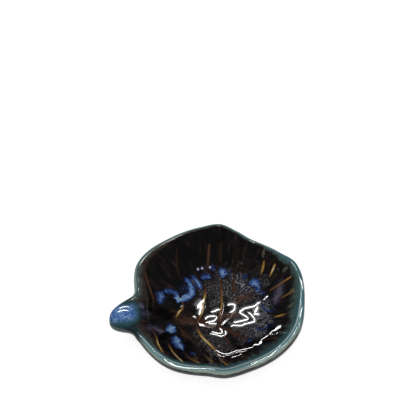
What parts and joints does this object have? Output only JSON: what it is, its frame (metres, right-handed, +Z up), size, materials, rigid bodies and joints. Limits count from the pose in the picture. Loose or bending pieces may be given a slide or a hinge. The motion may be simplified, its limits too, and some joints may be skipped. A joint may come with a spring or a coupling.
{
  "type": "tea bag dish",
  "caption": "Small leaf-shaped stoneware dish with a lobed rolled rim, raised veins inside and a stubby stem to hold it by, for resting a used tea bag.",
  "frame": {"origin": "under the middle of the whole dish's box, on the table", "axes": "+X from the stem towards the leaf's far side, +Y towards the leaf's back, +Z up"},
  "size_m": [0.1058, 0.0894, 0.0259],
  "materials": {
    "leaf_glaze": "glossy dark glaze, teal at the rim, with cobalt pools",
    "stem_glaze": "glossy mottled cobalt glaze",
    "vein_glaze": "the same glaze, thin and amber over the raised slip",
    "bare_clay": "bare fired stoneware"
  },
  "bodies": {
    "root": {"leaf_bowl": "leaf_glaze", "stem_handle": "stem_glaze", "foot_ring": "bare_clay", "midrib": "vein_glaze", "back_vein_1": "vein_glaze", "back_vein_2": "vein_glaze", "back_vein_3": "vein_glaze", "back_vein_4": "vein_glaze", "back_vein_5": "vein_glaze", "back_vein_6": "vein_glaze", "back_vein_7": "vein_glaze", "back_vein_8": "vein_glaze", "back_vein_9": "vein_glaze", "back_vein_10": "vein_glaze", "back_vein_11": "vein_glaze", "front_vein_1": "vein_glaze", "front_vein_2": "vein_glaze", "front_vein_3": "vein_glaze", "front_vein_4": "vein_glaze", "front_vein_5": "vein_glaze", "front_vein_6": "vein_glaze"}
  },
  "joints": []
}
